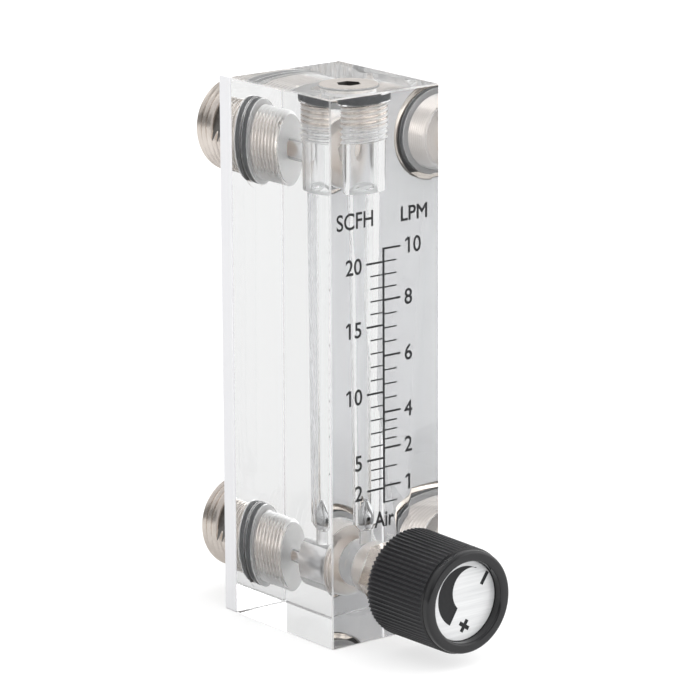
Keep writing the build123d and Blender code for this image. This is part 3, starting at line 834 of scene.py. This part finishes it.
figures = []
for unit, scale, edge, align in (("litre", RIGHT_FIGURES, RIGHT_X, "LEFT"),
                                 ("cubic_foot", LEFT_FIGURES, LEFT_X, "RIGHT")):
    for value, height in scale:
        flagged = str(value).startswith("1")
        x = edge + FLAG_ROOM * (flagged and align == "LEFT")
        figure = print_text(f"{unit}_figure_{value}", str(value), x, height, FIGURE_HEIGHT, align)
        if flagged:
            add_flag(figure, height, FIGURE_HEIGHT)
        figures.append(figure)
figures.append(print_text("left_unit", "SCFH", -6.9, 79.5, 3.1, squeeze=0.86, weight=0.05))
figures.append(print_text("right_unit", "LPM", 6.6, 79.3, 2.75, squeeze=0.97, weight=0.08))
figures.append(print_text("gas_name", "Air", -0.45, 23.0, 3.0, squeeze=0.84, weight=0.09))
report(figures[0])
print(len(figures), "figures and words printed")

# %% [markdown]
# ## Shader arithmetic
# A material's maths reads best as plain expressions. This small class wraps a node's output and
# adds Math nodes when two values are added, multiplied or compared.

# %% Shader maths as Python expressions


class Signal:
    """A number in a node tree that Python's operators work on."""

    def __init__(self, tree, socket):
        self.tree = tree
        self.socket = socket

    def math(self, operation, *others):
        return self.tree.node("ShaderNodeMath", {"operation": operation}, dict(enumerate((self, *others))))

    def __add__(self, other):
        return self.math("ADD", other)

    def __mul__(self, other):
        return self.math("MULTIPLY", other)

    def __rsub__(self, other):
        return (self * -1) + other

    __radd__ = __add__
    __rmul__ = __mul__


class Tree:
    """The node tree of a material or of the world."""

    def __init__(self, owner):
        owner.use_nodes = True
        self.nodes = owner.node_tree.nodes
        self.links = owner.node_tree.links

    def node(self, kind, settings=None, values=None, output=0):
        """Add a node: its settings first, then numbers or links on its sockets."""
        node = self.nodes.new(kind)
        for name, setting in (settings or {}).items():
            if name == "stops":
                fill_ramp(node.color_ramp, setting)
            else:
                setattr(node, name, setting)
        for socket, value in (values or {}).items():
            self.feed(node.inputs[socket], value)
        return Signal(self, node.outputs[output]) if node.outputs else None

    def feed(self, socket, value):
        if isinstance(value, Signal):
            self.links.new(value.socket, socket)
        else:
            socket.default_value = value


def fill_ramp(ramp, stops):
    """Give a colour ramp its stops, as (position, colour)."""
    while len(ramp.elements) < len(stops):
        ramp.elements.new(1.0)
    for element, (position, colour) in zip(ramp.elements, stops):
        element.position = position
        element.color = (*colour, 1) if len(colour) == 3 else colour


def new_finish(name, constants):
    """A material whose Principled shader has these constant values; returns it with its tree."""
    material = bpy.data.materials.new(name)
    tree = Tree(material)
    shader = tree.nodes["Principled BSDF"]
    for socket, value in constants.items():
        shader.inputs[socket].default_value = value
    return material, tree, shader


def noise(tree, scale, detail=2.0, stretch=(1, 1, 1), rough=0.5):
    """Smooth noise in object space; scale is in features per metre."""
    place = tree.node("ShaderNodeTexCoord", output="Object")
    mapped = tree.node("ShaderNodeMapping", values={"Vector": place, "Scale": stretch})
    return tree.node("ShaderNodeTexNoise", values={"Vector": mapped, "Scale": scale, "Detail": detail,
                                                   "Roughness": rough})


def blend_colour(tree, share, first, second):
    """A colour between two others: share 0 is the first and 1 the second."""
    return tree.node("ShaderNodeMix", {"data_type": "RGBA"}, {0: share, 6: (*first, 1), 7: (*second, 1)},
                     output=2)


def bump(tree, shader, height, distance):
    """Fine relief: height from 0 to 1 stands for this distance in millimetres."""
    normal = tree.node("ShaderNodeBump", values={"Height": height, "Distance": distance * MM})
    tree.feed(shader.inputs["Normal"], normal)


print("shader tools ready")

# %% [markdown]
# ## Acrylic
# Cast acrylic bends light with an index of 1.49. The outer faces and the tube are polished. Walls
# that a tap, a drill or a facing tool cut keep its marks and look milky. They are made of the same
# shader with some roughness, and with less transmission, so that the rest scatters as white. The
# drilled and faced walls also get a lower index, because a full one turns rough walls dark where
# light would be thrown back inside. The back plate is opal: filled with white, it lights up all
# over. The stop at the top of the tube is moulded in a slightly milky plastic.

# %% Acrylic finishes
ACRYLIC_IOR = 1.49

polished_acrylic, tree, shader = new_finish("polished_acrylic", {
    "Base Color": (0.985, 0.99, 0.99, 1), "Transmission Weight": 1.0, "IOR": ACRYLIC_IOR})
tree.feed(shader.inputs["Roughness"], noise(tree, 60) * 0.001)

tapped_acrylic, tree, shader = new_finish("tapped_acrylic", {
    "Base Color": (0.98, 0.98, 0.985, 1), "Transmission Weight": 0.75, "IOR": ACRYLIC_IOR})
tool_marks = noise(tree, 1500, 2, stretch=(1, 6, 1))
tree.feed(shader.inputs["Roughness"], 0.26 + tool_marks * 0.06)

drilled_acrylic, tree, shader = new_finish("drilled_acrylic", {
    "Base Color": (0.97, 0.97, 0.975, 1), "Transmission Weight": 0.78, "IOR": 1.2})
tree.feed(shader.inputs["Roughness"], 0.30 + noise(tree, 1200, 2) * 0.08)

faced_acrylic, tree, shader = new_finish("faced_acrylic", {
    "Base Color": (0.97, 0.975, 0.985, 1), "Transmission Weight": 0.6, "IOR": 1.2})
tree.feed(shader.inputs["Roughness"], 0.35 + noise(tree, 1200, 2) * 0.1)

opal_acrylic, tree, shader = new_finish("opal_acrylic", {
    "Roughness": 0.22, "Coat Weight": 0.3, "Coat Roughness": 0.05})
cloud = noise(tree, 120, 2)
tree.feed(shader.inputs["Base Color"], blend_colour(tree, cloud, (0.88, 0.88, 0.905), (0.91, 0.91, 0.925)))

clear_stop, tree, shader = new_finish("clear_stop", {
    "Base Color": (0.94, 0.945, 0.95, 1), "Transmission Weight": 0.35, "IOR": 1.1})
tree.feed(shader.inputs["Roughness"], 0.35 + noise(tree, 800) * 0.1)
print("acrylic finishes made")

# %% [markdown]
# ## Metal
# Nickel plate over turned brass keeps a warm tint and the fine rings of the turning tool. The
# milled flats were never polished, so they are rough and mottled; they and the plug's socket are
# painted nearly black, as painted shade.

# %% Metal finishes
nickel, tree, shader = new_finish("nickel", {"Metallic": 1.0})
stain = noise(tree, 350, 4, rough=0.6)
tree.feed(shader.inputs["Base Color"], blend_colour(tree, stain, (0.56, 0.495, 0.44), (0.86, 0.80, 0.745)))
tree.feed(shader.inputs["Roughness"], 0.14 + noise(tree, 900, 3) * 0.16)
bump(tree, shader, noise(tree, 900, 2), 0.002)

painted_shade_nickel, tree, shader = new_finish("painted_shade_nickel", {"Metallic": 1.0})
mottle = noise(tree, 800, 5, rough=0.75)
# painted shade: nearly black at its darkest, for the shade in the deep socket and on the flats
tree.feed(shader.inputs["Base Color"], blend_colour(tree, mottle, (0.02, 0.02, 0.02), (0.34, 0.325, 0.31)))
tree.feed(shader.inputs["Roughness"], 0.35 + mottle * 0.2)
bump(tree, shader, mottle, 0.04)

steel, tree, shader = new_finish("steel", {"Metallic": 1.0})
sheen = noise(tree, 500)
tree.feed(shader.inputs["Base Color"], blend_colour(tree, sheen, (0.30, 0.30, 0.305), (0.40, 0.40, 0.405)))
tree.feed(shader.inputs["Roughness"], 0.08 + noise(tree, 700, 2) * 0.08)

brass, tree, shader = new_finish("brass", {"Metallic": 1.0})
tarnish = noise(tree, 400, 3)
tree.feed(shader.inputs["Base Color"], blend_colour(tree, tarnish, (0.72, 0.52, 0.25), (0.85, 0.66, 0.38)))
tree.feed(shader.inputs["Roughness"], 0.2 + noise(tree, 900, 2, stretch=(1, 0.2, 1)) * 0.15)
print("metal finishes made")

# %% [markdown]
# ## Rubber, plastic, foil and ink
# The knob has a fine moulded grain on its grip and a glossier rim, painted darker as shade on the
# rim and in the recess. The label's foil is brushed in one direction, and the ink is a flat black
# that lies on it.

# %% Soft and printed finishes
rubber, tree, shader = new_finish("rubber", {"Specular IOR Level": 0.4})
dust = noise(tree, 1200, 3)
tree.feed(shader.inputs["Base Color"], blend_colour(tree, dust, (0.022, 0.024, 0.028), (0.05, 0.054, 0.06)))
tree.feed(shader.inputs["Roughness"], 0.42 + dust * 0.2)

white_washer, tree, shader = new_finish("white_washer", {})
fibre = noise(tree, 800)
tree.feed(shader.inputs["Base Color"], blend_colour(tree, fibre, (0.82, 0.82, 0.80), (0.88, 0.88, 0.86)))
tree.feed(shader.inputs["Roughness"], 0.45 + noise(tree, 1200) * 0.1)

black_plastic, tree, shader = new_finish("black_plastic", {"Specular IOR Level": 0.5})
grain = noise(tree, 4500, 2)
tree.feed(shader.inputs["Base Color"],
          blend_colour(tree, grain, (0.022, 0.022, 0.024), (0.040, 0.040, 0.043)))
tree.feed(shader.inputs["Roughness"], 0.32 + noise(tree, 700, 2) * 0.12)
bump(tree, shader, grain, 0.012)

foil, tree, shader = new_finish("foil", {"Metallic": 0.3})
brushing = noise(tree, 600, 4, stretch=(0.12, 1, 4.0), rough=0.65)
tree.feed(shader.inputs["Base Color"],
          blend_colour(tree, brushing, (0.52, 0.525, 0.53), (0.84, 0.845, 0.85)))
tree.feed(shader.inputs["Roughness"], 0.3 + brushing * 0.15)

gloss_painted_shade_plastic, tree, shader = new_finish("gloss_painted_shade_plastic", {"Specular IOR Level": 0.5})
# painted shade: a darker black than the grip's, for the shade on the rim and in the recess
tree.feed(shader.inputs["Base Color"],
          blend_colour(tree, noise(tree, 900, 2), (0.008, 0.008, 0.009), (0.014, 0.014, 0.015)))
tree.feed(shader.inputs["Roughness"], 0.14 + noise(tree, 900, 2) * 0.06)

ink, tree, shader = new_finish("ink", {"Specular IOR Level": 0.3})
tree.feed(shader.inputs["Base Color"],
          blend_colour(tree, noise(tree, 1500, 3), (0.010, 0.010, 0.011), (0.022, 0.022, 0.024)))
tree.feed(shader.inputs["Roughness"], 0.5 + noise(tree, 1500, 3) * 0.15)
print("other finishes made")

# %% [markdown]
# ## Dress every piece
# Each new piece gets its material, rides on its body and stands for its CAD node. CAD nodes that
# stay visible only get a material.

# %% Assign materials and bodies


def dress(piece, material, body, slot, *replaced):
    piece.data.materials.clear()
    piece.data.materials.append(material)
    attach(piece, body)
    if replaced:
        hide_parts(*replaced)


dress(clear_block, polished_acrylic, "meter", "clear_acrylic", "flow_block")
dress(lower_fitting, nickel, "meter", "nickel", "inlet_fitting")
dress(upper_fitting, nickel, "meter", "nickel", "outlet_fitting")
dress(top_plug, nickel, "meter", "nickel", "top_plug")
dress(lower_seal, rubber, "meter", "black_rubber", "inlet_seal")
dress(upper_seal, rubber, "meter", "black_rubber", "outlet_seal")
dress(plug_seal, rubber, "meter", "black_rubber", "top_plug_seal")
dress(steel_float, steel, "float", "polished_steel", "metering_float")
dress(valve_bush, nickel, "meter", "nickel", "valve_body")
dress(knob_body, black_plastic, "valve_control", "black_knob", "knob")
dress(foil_label, foil, "valve_control", "label_foil", "knob_label")
for piece in (ink_crescent, ink_minus, ink_plus):
    dress(piece, ink, "valve_control", "black_print")
for piece in figures:
    dress(piece, ink, "meter", "black_print")

cad_finishes = {
    "back_plate": opal_acrylic,
    "float_stop": clear_stop,
    "valve_washer": white_washer,
    "valve_stem": steel,
    "stem_seal": rubber,
    "stem_clip": steel,
    "knob_insert": brass,
    "knob_screw": steel,
    "scale_marks": ink,
}
for node, material in cad_finishes.items():
    nodes[node].data.materials.clear()
    nodes[node].data.materials.append(material)
print("dressed", len(cad_finishes), "CAD nodes")

# %% [markdown]
# Some pieces carry more than one finish: the block's tapped, drilled and faced walls are frosted,
# the plug's socket and the fittings' flats are rough and mottled and painted dark as shade, and the
# front of the knob is glossy and painted darker as shade. In each case the faces are found by their place.

# %% Finishes of the block's walls
ROOM = 0.1  # how far past a wall its faces are looked for


def tool_of(centre):
    """What left a face: 0 the polisher, 1 a tap or a scraper, 2 a drill, 3 a facing tool."""
    margins = [min(centre[i] - block_low[i], block_high[i] - centre[i]) for i in range(3)]
    if sum(margin < EDGE_CHAMFER * 0.8 * MM for margin in margins) >= 2:
        return 1
    depth = (centre.y - front_y) / MM
    height = centre.z / MM
    valve_r = hypot(centre.x, centre.z - inlet_z) / MM
    outlet_r = hypot(centre.x, centre.z - outlet_z) / MM
    port_r = min(valve_r, outlet_r)
    tube_r = hypot(centre.x, centre.y) / MM
    if abs(depth - PORT_SEAL_START) < 0.01 and port_r < PORT_COUNTERBORE_R:
        return 3
    if PORT_THREAD_START + ROOM < depth < block_depth / MM and port_r < PORT_COUNTERBORE_R + 0.05:
        return 1
    if CHAMBER_TOP_Z - ROOM < height < PLUG_THREAD_TOP_Z - ROOM and tube_r < COUNTERBORE_R:
        return 1
    if 0.01 < depth < PORT_THREAD_START + ROOM and valve_r < PORT_THREAD_R:
        return 2
    past_tube = -front_y / MM < depth and tube_r > PASSAGE_R
    if past_tube and depth < PORT_THREAD_START + ROOM and outlet_r < PORT_DRILL_R:
        return 2
    if TUBE_TOP_Z - 0.01 < height < TUBE_TOP_Z + 0.01 and tube_r < CHAMBER_R:
        return 2
    return 0


for material in (tapped_acrylic, drilled_acrylic, faced_acrylic):
    clear_block.data.materials.append(material)
for face in clear_block.data.polygons:
    face.material_index = tool_of(face.center)
tally = [sum(face.material_index == index for face in clear_block.data.polygons) for index in range(4)]
print("faces of the block polished, tapped, drilled and faced:", tally)

# %% Second finishes of the plug, the knob and the fittings


def second_finish(piece, material, chosen):
    """Give a piece a second material on the faces that a test chooses."""
    piece.data.materials.append(material)
    count = 0
    for face in piece.data.polygons:
        if chosen(face):
            face.material_index = 1
            count += 1
    print(piece.name, "has", count, "faces of", material.name)


def in_socket(face):
    return hypot(face.center.x, face.center.y) < KEY_FLATS * 0.55 * MM


def before_ribs(face):
    return face.center.y < front_y + RIB_END * MM


def on_flat(height):
    """A test for the two milled flats of the fitting at this height."""
    across = Vector((cos(radians(FLATS_ANGLE)), 0, -sin(radians(FLATS_ANGLE))))

    def test(face):
        reach = abs((face.center - Vector((0, 0, height))).dot(across)) / MM
        return abs(face.normal.dot(across)) > 0.999 and abs(reach - FLATS_ACROSS / 2) < 0.01
    return test


# painted shade: the socket and the flats take the dark nickel, the knob's front the darker black
second_finish(top_plug, painted_shade_nickel, in_socket)
second_finish(knob_body, gloss_painted_shade_plastic, before_ribs)
second_finish(lower_fitting, painted_shade_nickel, on_flat(inlet_z))
second_finish(upper_fitting, painted_shade_nickel, on_flat(outlet_z))

# %% [markdown]
# ## Floor
# The meter stands on a pale matt floor that keeps its shadow. The floor is grey by itself, so that
# it doesn't light the meter from below. A little glow that only camera, mirror and see-through rays
# meet brings it up to white in the picture, in reflections and behind the clear block.

# %% Floor
FLOOR_SIZE = 6.0
FLOOR_GAP = 0.02
FLOOR_GREY = 0.36
CAMERA_GLOW = 0.62
MIRROR_GLOW = 0.40
THROUGH_GLOW = 0.23


def ray_kinds(tree):
    """Three signals that are 1 for camera rays, for plain mirror rays and for see-through rays."""
    path = tree.nodes.new("ShaderNodeLightPath")
    camera_ray, glossy_ray, through_ray = (
        Signal(tree, path.outputs[f"Is {kind} Ray"]) for kind in ("Camera", "Glossy", "Transmission"))
    return camera_ray, glossy_ray * (1 - through_ray), through_ray


bpy.ops.object.select_all(action="DESELECT")
bpy.ops.mesh.primitive_plane_add(size=FLOOR_SIZE, location=(0, 0, -FLOOR_GAP * MM))
floor = bpy.context.object
floor.name = "floor"
floor_finish = bpy.data.materials.new("floor")
tree = Tree(floor_finish)
tree.nodes.clear()
camera_ray, mirror_ray, through_ray = ray_kinds(tree)
seen = camera_ray * CAMERA_GLOW + mirror_ray * MIRROR_GLOW + through_ray * THROUGH_GLOW
matte = tree.node("ShaderNodeBsdfDiffuse", values={"Color": (FLOOR_GREY, FLOOR_GREY, FLOOR_GREY, 1)})
glow = tree.node("ShaderNodeEmission", values={"Color": (1, 1, 1, 1), "Strength": seen})
both = tree.node("ShaderNodeAddShader", values={0: matte, 1: glow})
tree.node("ShaderNodeOutputMaterial", values={"Surface": both})
floor.data.materials.append(floor_finish)
print("floor", FLOOR_SIZE, "m wide,", FLOOR_GAP, "mm below the meter")

# %% [markdown]
# ## The room
# Camera rays meet a white wall. All other rays meet a dim room whose far side is bright and whose
# near side is dark, with a bright strip at either side and in the ceiling: metal and polished
# plastic get their bands from these. Two more fills light the meter from the camera's side and from
# its right. Plain mirror rays don't meet them, so that they leave no flat glare on the metal.

# %% World
YAW = radians(-38.05)  # the camera's direction, turned from straight in front
SIDE_FILL = 1.45

world = bpy.data.worlds.new("studio")
bpy.context.scene.world = world
tree = Tree(world)
tree.nodes.clear()
camera_ray, mirror_ray, through_ray = ray_kinds(tree)
direction = tree.node("ShaderNodeTexCoord", output="Generated")


def along(way):
    """How far a ray points this way, from -1 to 1."""
    return tree.node("ShaderNodeVectorMath", {"operation": "DOT_PRODUCT"}, {0: direction, 1: way},
                     output="Value")


def level(value, *stops):
    """Brightness at a value from -1 to 1, which runs evenly from each stop to the next."""
    greys = [(place / 2 + 0.5, (grey, grey, grey)) for place, grey in stops]
    return tree.node("ShaderNodeValToRGB", {"stops": greys}, {"Fac": value * 0.5 + 0.5})


forward = along((-sin(YAW), cos(YAW), 0))
backdrop = level(forward, (-1, 0.20), (-0.35, 0.24), (0.0, 0.45), (0.35, 0.80), (1, 0.82))
room_fill = level(forward, (-1, 0.85), (-0.2, 0.70), (0.3, 0.05), (1, 0.0))
side = along((cos(YAW), sin(YAW), 0))
side_boxes = level(side, (-1, 0.15), (-0.80, 0.15), (-0.70, 0.0), (0.72, 0.0), (0.82, 0.3), (1, 0.3))
side_fill = level(side, (-1, 0.0), (0.05, 0.0), (0.45, 0.95), (1, 1.0)) * SIDE_FILL
ceiling = level(along((0, 0, 1)), (-1, 0.0), (0.55, 0.0), (0.75, 0.45), (1, 0.35))
fills = (room_fill + side_fill) * (1 - mirror_ray)
colour = camera_ray.math("MAXIMUM", backdrop + side_boxes + ceiling + fills)
sky = tree.node("ShaderNodeBackground", values={"Color": colour, "Strength": 1.0})
tree.node("ShaderNodeOutputWorld", values={"Surface": sky})
print("world has", len(tree.nodes), "nodes")

# %% [markdown]
# ## Lamps
# Two wide, weak discs on either side of the camera give the floor a soft shadow and round off the
# knob. Strong small lamps would leave bright specks behind the frosted walls.

# %% Lamps
LAMP_SIZE = 1.0


def add_soft_lamp(name, place, aim, size, power):
    """A round area lamp that faces a point; metres and watts."""
    lamp = bpy.data.lights.new(name, "AREA")
    lamp.shape = "DISK"
    lamp.size = size
    lamp.energy = power
    holder = bpy.data.objects.new(name, lamp)
    bpy.context.scene.collection.objects.link(holder)
    holder.location = place
    holder.rotation_euler = (Vector(aim) - Vector(place)).to_track_quat("-Z", "Y").to_euler()
    return holder


middle = Vector((0, 0, top_z / 2))
for lamp_name, place, power in (("key", (-0.55, -0.55, 0.75), 1.2), ("fill", (0.75, -0.55, 0.35), 2.0)):
    add_soft_lamp(lamp_name, place, middle, LAMP_SIZE, power)
    print(lamp_name, "lamp of", power, "W at", place)

# %% [markdown]
# ## Camera
# A long lens, far away, keeps the block's edges nearly parallel. Its direction and distance were
# found from the corners of the block in the photograph. It starts on a line through the foot of
# the front face, and two slides, across and up, then centre the block in the frame.

# %% Camera
PHOTO_SIDE = 700
FOCAL_PIXELS = 4369.2
SENSOR = 36.0
PITCH = radians(14.19)
ROLL = radians(-0.27)
DISTANCE = 803.56  # from the camera to the foot of the front face, along the view
SLIDE_RIGHT = 6.71
SLIDE_UP = -52.87

level_right = Vector((cos(YAW), sin(YAW), 0))
backwards = Vector((sin(YAW) * cos(PITCH), -cos(YAW) * cos(PITCH), sin(PITCH)))
level_up = backwards.cross(level_right)
right = level_right * cos(ROLL) + level_up * sin(ROLL)
up = level_up * cos(ROLL) - level_right * sin(ROLL)
eye = (backwards * DISTANCE - right * SLIDE_RIGHT - up * SLIDE_UP) * MM + Vector((0, front_y, 0))
camera_data = bpy.data.cameras.new("camera")
camera_data.sensor_width = SENSOR
camera_data.lens = FOCAL_PIXELS / PHOTO_SIDE * SENSOR
camera_data.clip_start = 0.01
camera = bpy.data.objects.new("camera", camera_data)
bpy.context.scene.collection.objects.link(camera)
camera.matrix_world = Matrix.Translation(eye) @ Matrix((right, up, backwards)).transposed().to_4x4()
bpy.context.scene.camera = camera
print("camera at", [round(value, 3) for value in eye], "lens", round(camera_data.lens, 1), "mm")

# %% [markdown]
# ## Picture settings
# Light crosses many faces on its way through a clear block, so it may bend and bounce more often
# than usual. Single bright indirect samples are held down, which keeps specks off frosted walls.

# %% Picture settings
scene = bpy.context.scene
scene.view_settings.view_transform = "Standard"
scene.cycles.max_bounces = 32
scene.cycles.transmission_bounces = 32
scene.cycles.glossy_bounces = 16
scene.cycles.diffuse_bounces = 6
scene.cycles.sample_clamp_indirect = 2.0
print("light may bend", scene.cycles.transmission_bounces, "times")
